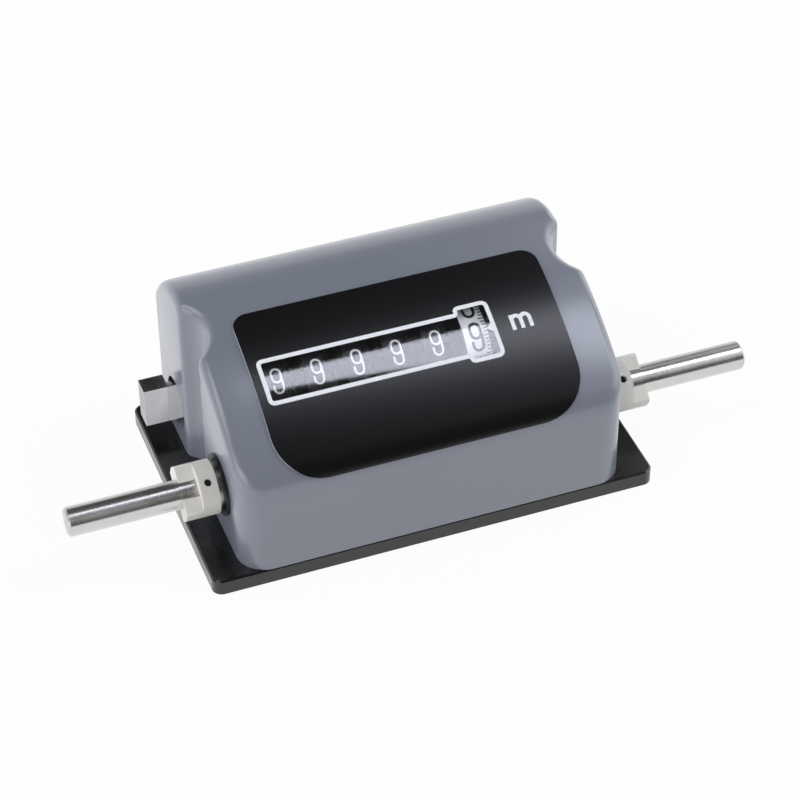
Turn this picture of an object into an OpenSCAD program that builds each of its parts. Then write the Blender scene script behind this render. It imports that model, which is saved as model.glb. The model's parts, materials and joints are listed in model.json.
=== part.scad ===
// Mechanical length counter with a through drive shaft, six number wheels and a side reset knob.
// Axes: X runs along the drive shaft, the sloping front faces -Y, Z is up.
// The origin is the middle of the underside of the base plate.

/* [Housing] */
// Length of the housing along the shaft
case_w = 95; // [90:0.5:100]
// Depth of the housing and of the base plate
case_d = 67; // [66:0.5:68]
// Radius of the curved sloping front
crown_r = 80; // [78:0.5:82]
// Distance of the crown's centre line behind the middle of the plate
crown_y = 21.4; // [20.8:0.2:22]
// Height of the highest line that the crown curve would reach
crown_z = 50.4; // [50:0.2:51]
// Radius between the sloping face and the upright front
front_r = 9; // [7:0.5:10]
// Radius between the top and the upright back
back_r = 19; // [17:0.5:20]
// Plan radius of the two front corners
front_corner_r = 7; // [6:0.5:8]
// Plan radius of the two rear corners
rear_corner_r = 3; // [2.9:0.1:4]
// Radius of the rolled edge between the sides and the top
edge_r = 2.2; // [1.6:0.1:2.4]
// Thickness of the cast wall
wall = 2; // [1.8:0.1:2.1]
// Radius of the upright flute in each side wall
flute_r = 8.3; // [7.8:0.1:8.6]
// Distance of the flute's axis outside the side wall
flute_out = 4; // [3.8:0.1:4.6]
// Place of the flutes behind the middle of the plate
flute_y = 3.5; // [3:0.5:4]
// Radius of the rounded rim of each flute
flute_rim_r = 2.5; // [2.45:0.05:3]
// Outer diameter of the screw bosses inside the housing
boss_d = 8.6; // [8.4:0.1:9]
// Height of the screw bosses above the plate
boss_h = 14; // [12:0.5:16]

/* [Base plate] */
// How far the base plate stands out beyond each side of the housing
plate_out = 7.5; // [7:0.1:8]
// Thickness of the base plate
plate_t = 4; // [3.5:0.1:4.2]
// Corner radius of the base plate
plate_corner_r = 2.5; // [2:0.1:4]
// Bevel round the top edge of the base plate
plate_bevel = 0.4; // [0.2:0.1:0.6]
// Diameter of the two mounting holes at the feet of the flutes
mount_hole_d = 4.5; // [4.3:0.1:4.8]
// Diameter of the case and frame screws
screw_d = 3; // [2.5:0.1:3]

/* [Front panel] */
// Width of the front panel
panel_w = 75; // [74:0.5:76]
// Start of the panel, measured along the curved face from the crown line
panel_top_s = 17.6; // [17:0.2:18.4]
// End of the panel, measured the same way
panel_end_s = 61; // [60:0.2:61.4]
// Thickness of the panel
panel_t = 0.5; // [0.3:0.05:0.8]
// Radius of the panel's upper corners
panel_top_r = 4; // [3:0.5:6]
// Radius of the panel's lower corners
panel_low_r = 11.5; // [9:0.5:12]

/* [Window opening] */
// Distance of the opening from the left side of the housing
window_in = 12.1; // [11.8:0.1:12.4]
// Length of the opening in the housing
window_len = 56.8; // [56.4:0.1:57.2]
// Height of the opening along the face
window_h = 14.4; // [13.6:0.1:15]
// Place of the opening's middle along the curved face
window_s = 36.1; // [35.8:0.1:36.4]

/* [Drive shaft] */
// Diameter of the free ends of the drive shaft
shaft_d = 7; // [6.8:0.1:7]
// Diameter of the drive shaft between the outer ends of the dogs
shaft_core_d = 7.4; // [7.2:0.1:7.6]
// Length of the drive shaft
shaft_len = 168.4; // [160:0.4:176]
// Place of the drive shaft in front of the middle of the plate
shaft_front = 17; // [16.8:0.1:17.2]
// Height of the drive shaft above the underside
shaft_z = 18.5; // [18.2:0.1:18.8]
// Bevel at the shaft ends
shaft_bevel = 0.5; // [0.2:0.1:0.8]

/* [Couplings and bearings] */
// Outer diameter of the coupling dogs
dog_d = 13; // [12.6:0.1:13.4]
// Length of the solid ring of a dog
dog_ring_w = 4.2; // [4:0.1:4.6]
// Length of the two lugs of a dog
dog_lug_len = 4; // [3:0.1:5]
// Width of the two lugs of a dog
dog_lug_w = 6.5; // [6:0.1:7]
// Angle of the lugs about the shaft, from level at the back
dog_angle = 38; // [34:1:42]
// Diameter of the spring pins that hold the dogs
dog_pin_d = 1.8; // [1.5:0.1:2]
// How deep the spring pins sit below the dog's surface
dog_pin_deep = 1.2; // [0.8:0.1:1.6]
// Outer diameter of the bearing bushes
bush_d = 11; // [10.5:0.1:11.4]
// Diameter of the bush flanges
bush_flange_d = 14.8; // [14:0.1:15.2]
// Thickness of the bush flanges
bush_flange_t = 0.8; // [0.6:0.1:1]
// How far the bushes reach inside the wall
bush_inside = 1.6; // [1:0.1:2]
// Thickness of the thrust washers
washer_t = 1; // [0.8:0.1:1.2]
// Diameter of the thrust washers
washer_d = 11; // [10:0.1:12]

/* [Number wheels] */
// Diameter of the number wheels
wheel_d = 26.6; // [26.2:0.1:26.7]
// Distance from digit to digit
wheel_pitch = 9.7; // [9.7:0.05:9.8]
// Distance of the leftmost digit from the left side of the housing
digit_in = 16.4; // [16.3:0.05:16.5]
// Rim of a wheel to the left of its digit's middle
rim_left = 3.1; // [3:0.05:3.2]
// Rim of a black wheel to the right of its digit's middle
rim_right = 1.5; // [1.4:0.05:1.6]
// Rim of the white wheel to the right of its digit's middle
unit_rim_right = 2.8; // [2.6:0.05:2.9]
// Wall of the wheel rims and webs
rim_wall = 1.2; // [1:0.1:1.4]
// Width of the gear rings and carry discs on the wheels
ring_w = 2; // [1.8:0.05:2]
// Diameter of the wheel hubs
hub_d = 6.4; // [6:0.1:7]
// Diameter of the wheel axle
axle_d = 4; // [3.6:0.1:4.2]

/* [Gears] */
// Tooth size (module) of the drive gears
drive_module = 0.65; // [0.645:0.005:0.655]
// Teeth of the pinion on the drive shaft
drive_teeth = 18; // [18:1:18]
// Teeth of the gear on the white wheel
unit_teeth = 36; // [36:1:36]
// Width of the drive gears
drive_gear_w = 3; // [2.6:0.1:3.2]
// Direction of the wheel axle seen from the drive shaft, above level
wheel_angle = 40; // [39.8:0.1:40.1]
// Tooth size (module) of the transfer gears
transfer_module = 1.12; // [1.12:0.005:1.13]
// Teeth of the gear ring on each black wheel
ring_teeth = 20; // [20:10:20]
// Teeth of the transfer pinions
transfer_teeth = 8; // [8:1:8]
// Diameter of the transfer pinion axle
pinion_axle_d = 2; // [1.8:0.1:2]
// Tooth size (module) of the reset gears
reset_module = 0.75; // [0.745:0.005:0.76]
// Teeth of the reset gears on the spindle and on the wheel axle
reset_teeth = 20; // [20:1:20]
// Teeth of the reset idler
idler_teeth = 21; // [21:1:21]
// Width of the reset gears
reset_gear_w = 2.5; // [2:0.1:2.6]
// Pressure angle of all teeth
pressure_angle = 25; // [24:1:26]
// Play between meshing teeth
backlash = 0.14; // [0.12:0.01:0.18]

/* [Counter frame] */
// Thickness of the frame's sheet
frame_t = 1.2; // [1:0.1:1.2]
// Inside bend radius of the frame
frame_bend_r = 1; // [0.6:0.1:1.4]
// Front edge of the frame, in front of the middle of the plate
frame_front = 23; // [22:0.5:23.5]
// Rear edge of the frame, behind the middle of the plate
frame_back = 22.6; // [22.4:0.1:22.8]

/* [Reset knob] */
// Place of the knob's axis behind the middle of the plate
knob_y = 19.1; // [19:0.1:19.4]
// Height of the knob's axis above the underside
knob_z = 14.4; // [14:0.1:14.6]
// Height of the grip
grip_h = 10.6; // [10:0.1:11]
// Thickness of the grip behind its flat front
grip_t = 4.9; // [4.4:0.1:5.2]
// Length of the grip
grip_len = 6; // [5:0.1:7]
// Gap between the grip and the side wall
grip_gap = 1.7; // [1.4:0.1:2]
// Diameter of the hole for the knob in the side wall
knob_hole_d = 13; // [12.6:0.1:13.4]
// Diameter of the knob's neck and boss
knob_neck_d = 10.6; // [10:0.1:11]
// Diameter of the reset spindle
spindle_d = 4; // [3.6:0.1:4.2]

/* [Clearances] */
// Radial play of turning fits
run_fit = 0.05; // [0.03:0.01:0.08]
// Radial play of fixed fits
seat_fit = 0.02; // [0.01:0.01:0.03]
// Play between faces that turn past each other
end_play = 0.1; // [0.08:0.01:0.12]
// Gap that keeps the carry teeth clear of the transfer pinions
carry_gap = 0.3; // [0.25:0.05:0.4]
// Gap between the spacer tubes and the wheels that turn beside them
spacer_gap = 0.12; // [0.1:0.01:0.14]

/* [Hidden] */

// Smoothness of round parts
$fn = 64;

// Side profile of the housing
crown_zc = crown_z - crown_r;
front_y = -case_d / 2 + front_r;
front_z = crown_zc + sqrt(pow(crown_r - front_r, 2) - pow(front_y - crown_y, 2));
back_y = case_d / 2 - back_r;
back_z = crown_zc + sqrt(pow(crown_r - back_r, 2) - pow(back_y - crown_y, 2));
front_turn = asin((crown_y - front_y) / (crown_r - front_r));
front_turn_s = crown_r * front_turn * PI / 180;

// Flute geometry
flute_half = sqrt(pow(flute_r + flute_rim_r, 2) - pow(flute_out + flute_rim_r, 2));
flute_turn = atan2(flute_half, flute_out + flute_rim_r);

// Base plate, window opening and digits
plate_w = case_w + 2 * plate_out;
mount_x = case_w / 2 + flute_out;
window_left = window_in - case_w / 2;
first_digit_x = digit_in - case_w / 2;

// Steps used to build the housing's skin
corner_steps = 8;
side_steps = 8;
rim_steps = 4;
flute_steps = 10;
edge_steps = 5;
inner_edge_r = 0.4;
inner_edge_steps = 2;

// Screws of the housing and of the frame
boss_sink = 0.3;
boss_in = boss_d / 2 - boss_sink;
front_boss_x = case_w / 2 - wall - boss_in;
rear_boss_x = 28;
boss_y = case_d / 2 - wall - boss_in;
screw_head_d = 2 * screw_d;
screw_head_t = 0.65 * screw_d;
case_screw_len = 11;
boss_hole_short = 2;
recess_len = 0.9 * screw_d;
recess_w = 0.6;
recess_deep = 1;
slot_w = 0.7;
slot_deep = 0.8;
screw_end_in = 0.5;
frame_screw_y = 16;
frame_screw_in = 6;

// Drive shaft and what sits on it
shaft_r = shaft_d / 2;
core_r = shaft_core_d / 2;
shaft_y = -shaft_front;
bush_in_x = case_w / 2 - wall - bush_inside;
bush_out_x = case_w / 2 + bush_flange_t;
dog_in_x = bush_out_x + washer_t + end_play;
dog_ring_x = dog_in_x + dog_ring_w;
dog_out_x = dog_ring_x + dog_lug_len;
dog_pin_x = dog_in_x + dog_ring_w / 2;
clip_t = 0.8;
clip_groove = 0.5;
clip_lip = 1.5;
clip_slot = 0.8;

// Drive gears and wheel axle
drive_centres = drive_module * (drive_teeth + unit_teeth) / 2;
unit_tip_r = drive_module * (unit_teeth / 2 + 1);
wheel_y = shaft_y + drive_centres * cos(wheel_angle);
wheel_z = shaft_z + drive_centres * sin(wheel_angle);
unit_digit_x = first_digit_x + 5 * wheel_pitch;
unit_gear_gap = 0.8;
unit_gear_x = unit_digit_x + unit_rim_right + unit_gear_gap;
unit_hub_x = unit_gear_x + drive_gear_w + rim_wall;
drive_root_r = drive_module * drive_teeth / 2 - root_depth(drive_module);
drive_pin_x = unit_gear_x + drive_gear_w / 2;
drive_pin_d = 1.5;
drive_pin_deep = 0.2;
gear_face_play = 0.2;

// Transfer gears behind the wheels
transfer_centres = transfer_module * (ring_teeth + transfer_teeth) / 2;
pinion_y = wheel_y + transfer_centres;
transfer_tip = 1 * transfer_module;
ring_tip = 0.76 * transfer_module;
transfer_root = root_depth(transfer_module);
carry_tip_r = transfer_centres - transfer_module * transfer_teeth / 2 - transfer_tip - carry_gap;
carry_disc_r = carry_tip_r - 1;
carry_tooth_turn = 180 / ring_teeth * 2;
carry_tooth_w = 1.2;
tooth_root_in = 1;
ring_root_in = 0.2;
hub_reach = 0.5;
pinion_side_gap = 0.3;
left_hub_reach = 1.3;
pinion_left = rim_right + pinion_side_gap;
pinion_w = wheel_pitch - rim_left - rim_right - 2 * pinion_side_gap;
spacer_r = transfer_centres - max(wheel_d / 2, unit_tip_r) - spacer_gap;

// Counter frame
frame_right = unit_hub_x + end_play + frame_t;
frame_left = first_digit_x - rim_left - left_hub_reach - end_play - frame_t;
frame_top = wheel_z + 5;
frame_over_knob = 4.5;
frame_over_shaft = 6;
frame_behind_pinion = 4;
frame_before_wheel = 5;
frame_shaft_gap = 0.7;
axle_clip_x = frame_right + end_play;
axle_clip_t = 0.6;
axle_end = 0.8;
axle_groove = 0.6;
pinion_axle_out = 0.3;

// Reset gear train on the left of the frame
reset_dy = knob_y - wheel_y;
reset_dz = wheel_z - knob_z;
reset_span = sqrt(reset_dy * reset_dy + reset_dz * reset_dz);
idler_centres = reset_module * (reset_teeth + idler_teeth) / 2;
idler_rise = sqrt(pow(idler_centres, 2) - pow(reset_span / 2, 2));
idler_y = (knob_y + wheel_y) / 2 - idler_rise * reset_dz / reset_span;
idler_z = (knob_z + wheel_z) / 2 - idler_rise * reset_dy / reset_span;
reset_hub_len = 1;
reset_hub_wall = 1.2;
axle_gear_out = 0.4;
stud_head_t = 0.5;
stud_lip = 0.8;
spindle_end = 0.6;
reset_gear_x = frame_left - end_play - reset_hub_len - reset_gear_w;
idler_stud_d = 3;
spindle_to_idler = atan2(idler_z - knob_z, idler_y - knob_y);
idler_to_axle = atan2(wheel_z - idler_z, wheel_y - idler_y);
idler_turn = mesh_turn(0, reset_teeth, idler_teeth, spindle_to_idler);
axle_gear_turn = mesh_turn(idler_turn, idler_teeth, reset_teeth, idler_to_axle);

// Reset knob
grip_right = -case_w / 2 - grip_gap;
knob_flat_end = -case_w / 2 + wall + 0.5;
knob_boss_end = reset_gear_x - 0.6;
knob_bore_x = knob_flat_end + 0.4;
grip_joint = 0.5;
set_screw_d = 2;
set_screw_x = (knob_flat_end + grip_joint + knob_boss_end) / 2;
set_screw_slot = 0.4;

// Height of the housing's skin at depth y, moved inward by off
function skin_z(y, off) =
    let (
        turn_f = crown_y + (front_y - crown_y) / (crown_r - front_r) * (crown_r - off),
        turn_b = crown_y + (back_y - crown_y) / (crown_r - back_r) * (crown_r - off)
    )
    y < turn_f ? front_z + sqrt(max(0, pow(front_r - off, 2) - pow(y - front_y, 2)))
    : y > turn_b ? back_z + sqrt(max(0, pow(back_r - off, 2) - pow(y - back_y, 2)))
    : crown_zc + sqrt(pow(crown_r - off, 2) - pow(y - crown_y, 2));

// Point on the face at arc length s from the crown line, lifted by off: [y, z]
function face_point(s, off) =
    s < front_turn_s
    ? let (a = s / crown_r * 180 / PI)
        [crown_y - (crown_r + off) * sin(a), crown_zc + (crown_r + off) * cos(a)]
    : let (a = front_turn + (s - front_turn_s) / front_r * 180 / PI)
        [front_y - (front_r + off) * sin(a), front_z + (front_r + off) * cos(a)];

// Right half of the plan outline from front to back: [x, y, outward x, outward y, edge share]
function arc_part(cx, cy, r, from, to, steps, skip, side) = [
    for (i = [skip:steps])
        let (a = from + (to - from) * i / steps)
        [cx + r * cos(a), cy + r * sin(a), cos(a), sin(a), side ? 1 : abs(cos(a))]
];
function side_part(from, to) = [
    for (i = [1:side_steps - 1]) [case_w / 2, from + (to - from) * i / side_steps, 1, 0, 1]
];
function flute_part() = [
    for (i = [1:flute_steps - 1])
        let (a = 180 + flute_turn - 2 * flute_turn * i / flute_steps)
        [case_w / 2 + flute_out + flute_r * cos(a), flute_y + flute_r * sin(a), -cos(a), -sin(a), 1]
];
function half_outline() = concat(
    arc_part(case_w / 2 - front_corner_r, -case_d / 2 + front_corner_r, front_corner_r,
        -90, 0, corner_steps, 0, false),
    side_part(-case_d / 2 + front_corner_r, flute_y - flute_half),
    arc_part(case_w / 2 - flute_rim_r, flute_y - flute_half, flute_rim_r,
        0, flute_turn, rim_steps, 0, true),
    flute_part(),
    arc_part(case_w / 2 - flute_rim_r, flute_y + flute_half, flute_rim_r,
        -flute_turn, 0, rim_steps, 0, true),
    side_part(flute_y + flute_half, case_d / 2 - rear_corner_r),
    arc_part(case_w / 2 - rear_corner_r, case_d / 2 - rear_corner_r, rear_corner_r,
        0, 90, corner_steps, 0, false)
);

// Ring of skin points round the plan, moved inward by off and rolled over by turn degrees
function skin_ring(half, off, r, turn) =
    let (
        d = r * (1 - cos(turn)),
        drop = r * (1 - sin(turn)),
        right = [
            for (p = half)
                let (x = p[0] - p[2] * (off + d), y = p[1] - p[3] * (off + d))
                [x, y, skin_z(y, off) - p[4] * drop]
        ]
    )
    concat(right, [for (i = [len(right) - 1:-1:0]) [-right[i][0], right[i][1], right[i][2]]]);
function foot_ring(half, off) =
    let (right = [for (p = half) [p[0] - p[2] * off, p[1] - p[3] * off, plate_t]])
    concat(right, [for (i = [len(right) - 1:-1:0]) [-right[i][0], right[i][1], right[i][2]]]);

// Faces between two rings and across the top, with the loop of n points starting at index a
function wall_faces(a, b, n, out) = [
    for (i = [0:n - 1])
        let (j = (i + 1) % n)
        out ? [a + i, b + i, b + j, a + j] : [a + i, a + j, b + j, b + i]
];
function top_faces(a, n, out) = [
    for (i = [0:n / 2 - 2])
        let (l = n - 1 - i)
        out ? [a + i, a + l, a + l - 1, a + i + 1] : [a + i, a + i + 1, a + l - 1, a + l]
];

// Depth of a tooth below the pitch circle
function root_depth(m) = 1.2 * m;

// Turn of a gear with n2 teeth that meshes with one of n1 teeth standing at turn r1
function mesh_turn(r1, n1, n2, dir) = dir + 180 - 180 / n2 + (dir - r1) * n1 / n2;

// Involute gear outline with one tooth's middle on the first axis
function involute(a) = tan(a) * 180 / PI - a;
function polar(r, a) = [r * cos(a), r * sin(a)];
function gear_outline(m, n, tip, root) =
    let (
        rp = m * n / 2,
        rb = rp * cos(pressure_angle),
        rf = rp - root,
        r0 = max(rb, rf + 0.01),
        half = 90 / n - backlash / 4 / rp * 180 / PI + involute(pressure_angle),
        steps = 4,
        flank = [
            for (i = [0:steps])
                let (r = r0 + (rp + tip - r0) * i / steps) [r, half - involute(acos(rb / r))]
        ]
    )
    [
        for (k = [0:n - 1])
            let (c = 360 * k / n)
            each concat(
                [polar(rf, c - flank[0][1])],
                [for (i = [0:steps]) polar(flank[i][0], c - flank[i][1])],
                [for (i = [steps:-1:0]) polar(flank[i][0], c + flank[i][1])],
                [polar(rf, c + flank[0][1])]
            )
    ];

// Places children, drawn upright, along X at a point of the side view
module on_x(x, y, z) translate([x, y, z]) rotate([90, 0, 90]) children();

// Round bar along X
module bar_x(x1, x2, y, z, r) on_x(x1, y, z) cylinder(r = r, h = x2 - x1);

// Gear wheel along X without its bore
module gear_x(x, y, z, m, n, tip, root, w, turn) {
    on_x(x, y, z) rotate([0, 0, turn]) linear_extrude(w) polygon(gear_outline(m, n, tip, root));
}

// Rounded plan of the base plate
module plate_plan(inset) {
    r = plate_corner_r - inset;
    for (sx = [-1, 1], sy = [-1, 1])
        translate([sx * (plate_w / 2 - inset - r), sy * (case_d / 2 - inset - r)]) circle(r);
}

// Places of the case screws
module at_case_screws() {
    for (s = [-1, 1]) {
        translate([s * front_boss_x, -boss_y, 0]) children();
        translate([s * rear_boss_x, boss_y, 0]) children();
    }
}

// Places of the frame screws
module at_frame_screws() {
    for (x = [frame_left + frame_screw_in, frame_right - frame_screw_in], s = [-1, 1])
        translate([x, s * frame_screw_y, 0]) children();
}

module base_plate() {
    color("#1b1c1e")
    difference() {
        hull() {
            linear_extrude(plate_t - plate_bevel) hull() plate_plan(0, $fn = 48);
            linear_extrude(plate_t) hull() plate_plan(plate_bevel, $fn = 48);
        }
        for (s = [-1, 1])
            translate([s * mount_x, flute_y, -1]) cylinder(d = mount_hole_d, h = plate_t + 2);
        at_case_screws() {
            translate([0, 0, -1]) cylinder(r = screw_d / 2 + 2 * run_fit, h = plate_t + 2);
            translate([0, 0, -0.01]) cylinder(
                r1 = screw_head_d / 2 + 2 * run_fit, r2 = screw_d / 2 + 2 * run_fit,
                h = screw_head_d / 2 - screw_d / 2
            );
        }
        at_frame_screws() translate([0, 0, -1]) cylinder(r = screw_d / 2 + run_fit, h = plate_t + 2);
    }
}

// Thin cast shell from the plan outline and the side profile
module housing_shell() {
    half = half_outline();
    n = 2 * len(half);
    outer = concat(
        [foot_ring(half, 0)],
        [for (i = [0:edge_steps]) skin_ring(half, 0, edge_r, 90 * i / edge_steps)]
    );
    inner = concat(
        [foot_ring(half, wall)],
        [for (i = [0:inner_edge_steps]) skin_ring(half, wall, inner_edge_r, 90 * i / inner_edge_steps)]
    );
    no = len(outer);
    ni = len(inner);
    points = concat([for (ring = outer) each ring], [for (ring = inner) each ring]);
    faces = concat(
        [for (k = [0:no - 2]) each wall_faces(k * n, (k + 1) * n, n, true)],
        top_faces((no - 1) * n, n, true),
        [for (k = [no:no + ni - 2]) each wall_faces(k * n, (k + 1) * n, n, false)],
        top_faces((no + ni - 1) * n, n, false),
        [for (i = [0:n - 1]) let (j = (i + 1) % n) [i, j, no * n + j, no * n + i]]
    );
    polyhedron(points, faces);
}

module housing() {
    color("#878c97")
    difference() {
        union() {
            housing_shell();
            at_case_screws() translate([0, 0, plate_t]) cylinder(d = boss_d, h = boss_h);
        }
        bar_x(-case_w / 2 - 1, case_w / 2 + 1, shaft_y, shaft_z, bush_d / 2 + seat_fit);
        bar_x(-case_w / 2 - 1, -case_w / 2 + wall + 1, knob_y, knob_z, knob_hole_d / 2);
        at_case_screws() cylinder(r = screw_d / 2 + run_fit, h = plate_t + boss_h - boss_hole_short);
        translate([0, crown_y, crown_zc]) rotate([window_s / crown_r * 180 / PI, 0, 0])
            translate([window_left, -window_h / 2, crown_r - wall - 2])
                cube([window_len, window_h, wall + 4]);
    }
}

// Half width of the panel at arc length s
function panel_half(s) =
    let (top = max(0, panel_top_r - (s - panel_top_s)), low = max(0, panel_low_r - (panel_end_s - s)))
    panel_w / 2
    - (panel_top_r - sqrt(max(0, pow(panel_top_r, 2) - top * top)))
    - (panel_low_r - sqrt(max(0, pow(panel_low_r, 2) - low * low)));

module front_panel() {
    steps = 12;
    lift = 0.03;
    rows = concat(
        [for (i = [0:steps - 1]) panel_top_s + panel_top_r * (1 - cos(90 * i / steps))],
        [
            for (i = [0:steps])
                panel_top_s + panel_top_r
                + (panel_end_s - panel_low_r - panel_top_s - panel_top_r) * i / steps
        ],
        [for (i = [1:steps]) panel_end_s - panel_low_r + panel_low_r * sin(90 * i / steps)]
    );
    // Each row holds the inner left, inner right, outer right and outer left point
    points = [
        for (s = rows)
            let (w = panel_half(s), a = face_point(s, lift), b = face_point(s, lift + panel_t))
            each [[-w, a[0], a[1]], [w, a[0], a[1]], [w, b[0], b[1]], [-w, b[0], b[1]]]
    ];
    last = 4 * (len(rows) - 1);
    faces = concat(
        [[0, 1, 2, 3]],
        [
            for (k = [0:len(rows) - 2], c = [0:3])
                let (d = (c + 1) % 4) [4 * k + c, 4 * k + 4 + c, 4 * k + 4 + d, 4 * k + d]
        ],
        [[last + 3, last + 2, last + 1, last]]
    );
    color("#1c1d20") polyhedron(points, faces);
}

module housing_screws() {
    color("#c9cacb")
    at_case_screws() difference() {
        union() {
            cylinder(r1 = screw_head_d / 2, r2 = screw_d / 2, h = screw_head_d / 2 - screw_d / 2);
            cylinder(d = screw_d, h = case_screw_len);
        }
        for (a = [0, 90])
            rotate([0, 0, a]) translate([-recess_len / 2, -recess_w / 2, -1])
                cube([recess_len, recess_w, 1 + recess_deep]);
    }
}

// U section of the folded frame: outer radius is the bend plus the sheet
module frame_section() {
    r = frame_bend_r + frame_t;
    w = frame_right - frame_left;
    difference() {
        union() {
            translate([frame_left + r, plate_t]) square([w - 2 * r, frame_top]);
            translate([frame_left, plate_t + r]) square([w, frame_top]);
            for (x = [frame_left + r, frame_right - r]) translate([x, plate_t + r]) circle(r);
        }
        translate([frame_left + r, plate_t + frame_t]) square([w - 2 * r, frame_top + 1]);
        translate([frame_left + frame_t, plate_t + r]) square([w - 2 * frame_t, frame_top + 1]);
        for (x = [frame_left + r, frame_right - r]) translate([x, plate_t + r]) circle(frame_bend_r);
    }
}

module counter_frame() {
    side = [
        [-frame_front, 0], [frame_back, 0], [frame_back, knob_z + frame_over_knob],
        [pinion_y + frame_behind_pinion, frame_top], [wheel_y - frame_before_wheel, frame_top],
        [-frame_front, shaft_z + frame_over_shaft]
    ];
    x1 = frame_left - 1;
    x2 = frame_right + 1;
    color("#b9bcc0")
    difference() {
        intersection() {
            translate([0, frame_back, 0]) rotate([90, 0, 0])
                linear_extrude(frame_back + frame_front) frame_section();
            on_x(x1, 0, 0) linear_extrude(x2 - x1) polygon(side);
        }
        bar_x(x1, x2, shaft_y, shaft_z, core_r + frame_shaft_gap);
        bar_x(x1, x2, wheel_y, wheel_z, axle_d / 2 + run_fit);
        bar_x(x1, x2, pinion_y, wheel_z, pinion_axle_d / 2 + seat_fit);
        bar_x(x1, frame_left + 2, idler_y, idler_z, idler_stud_d / 2 + seat_fit);
        bar_x(x1, frame_left + 2, knob_y, knob_z, spindle_d / 2 + run_fit);
        at_frame_screws() cylinder(r = screw_d / 2 + 2 * run_fit, h = plate_t + 2 * frame_t);
    }
}

module frame_screws() {
    color("#c9cacb")
    at_frame_screws() difference() {
        union() {
            translate([0, 0, screw_end_in])
                cylinder(d = screw_d, h = plate_t + frame_t - screw_end_in);
            translate([0, 0, plate_t + frame_t]) cylinder(d = screw_head_d, h = screw_head_t);
        }
        translate([-screw_head_d, -slot_w / 2, plate_t + frame_t + screw_head_t - slot_deep])
            cube([2 * screw_head_d, slot_w, slot_deep + 1]);
    }
}

module drive_shaft() {
    half = shaft_len / 2;
    color("#c4c6c9")
    difference() {
        union() {
            bar_x(-half + shaft_bevel, half - shaft_bevel, shaft_y, shaft_z, shaft_r);
            bar_x(-dog_out_x, dog_out_x, shaft_y, shaft_z, core_r);
            on_x(half - shaft_bevel, shaft_y, shaft_z)
                cylinder(r1 = shaft_r, r2 = shaft_r - shaft_bevel, h = shaft_bevel);
            on_x(-half, shaft_y, shaft_z)
                cylinder(r1 = shaft_r - shaft_bevel, r2 = shaft_r, h = shaft_bevel);
        }
        for (s = [-1, 1]) {
            translate([s * dog_pin_x, shaft_y, shaft_z]) rotate([dog_angle, 0, 0])
                cylinder(d = dog_pin_d, h = shaft_d + 2, center = true);
            on_x(s * (bush_in_x - end_play - clip_t / 2) - clip_t / 2 - run_fit, shaft_y, shaft_z)
                difference() {
                    cylinder(r = core_r + 1, h = clip_t + 2 * run_fit);
                    translate([0, 0, -1]) cylinder(r = core_r - clip_groove, h = clip_t + 3);
                }
        }
        translate([drive_pin_x, shaft_y, shaft_z])
            cylinder(d = drive_pin_d, h = shaft_d + 2, center = true);
    }
}

// Coupling dog at the left end: a ring with two lugs that point away from the housing
module dog() {
    difference() {
        union() {
            bar_x(-dog_ring_x, -dog_in_x, shaft_y, shaft_z, dog_d / 2);
            intersection() {
                bar_x(-dog_out_x, -dog_ring_x + 1, shaft_y, shaft_z, dog_d / 2);
                translate([-dog_out_x, shaft_y, shaft_z]) rotate([dog_angle, 0, 0])
                    translate([0, -dog_d, -dog_lug_w / 2]) cube([dog_lug_len + 1, 2 * dog_d, dog_lug_w]);
            }
        }
        bar_x(-dog_out_x - 1, -dog_in_x + 1, shaft_y, shaft_z, core_r + seat_fit);
        translate([-dog_pin_x, shaft_y, shaft_z]) rotate([dog_angle, 0, 0])
            cylinder(d = dog_pin_d, h = 2 * dog_d, center = true);
    }
}

// Spring pin of the left dog
module dog_pin() {
    translate([-dog_pin_x, shaft_y, shaft_z]) rotate([dog_angle, 0, 0])
        cylinder(r = dog_pin_d / 2 - seat_fit, h = dog_d - 2 * dog_pin_deep, center = true);
}

module bush() {
    difference() {
        union() {
            bar_x(-bush_out_x, -case_w / 2, shaft_y, shaft_z, bush_flange_d / 2);
            bar_x(-case_w / 2 - 0.01, -bush_in_x, shaft_y, shaft_z, bush_d / 2);
        }
        bar_x(-bush_out_x - 1, -bush_in_x + 1, shaft_y, shaft_z, core_r + run_fit);
    }
}

module thrust_washer() {
    x = -bush_out_x - end_play / 2;
    difference() {
        bar_x(x - washer_t, x, shaft_y, shaft_z, washer_d / 2);
        bar_x(x - washer_t - 1, x + 1, shaft_y, shaft_z, core_r + run_fit);
    }
}

// Open clip in its groove, with play on both sides
module clip(x, y, z, groove_r, outer_r, t) {
    difference() {
        bar_x(x, x + t, y, z, outer_r);
        bar_x(x - 1, x + t + 1, y, z, groove_r + seat_fit);
        translate([x - 1, y - clip_slot / 2, z]) cube([t + 2, clip_slot, outer_r + 1]);
    }
}

module shaft_clip() {
    clip(-bush_in_x + end_play, shaft_y, shaft_z, core_r - clip_groove, core_r + clip_lip, clip_t);
}

module dog_left() color("#dedcd3") dog();
module dog_right() color("#dedcd3") mirror([1, 0, 0]) dog();
module dog_pin_left() color("#2c2b27") dog_pin();
module dog_pin_right() color("#2c2b27") mirror([1, 0, 0]) dog_pin();
module bush_left() color("#161616") bush();
module bush_right() color("#161616") mirror([1, 0, 0]) bush();
module thrust_washer_left() color("#b9b9b9") thrust_washer();
module thrust_washer_right() color("#b9b9b9") mirror([1, 0, 0]) thrust_washer();
module shaft_clip_left() color("#55575a") shaft_clip();
module shaft_clip_right() color("#55575a") mirror([1, 0, 0]) shaft_clip();

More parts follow.
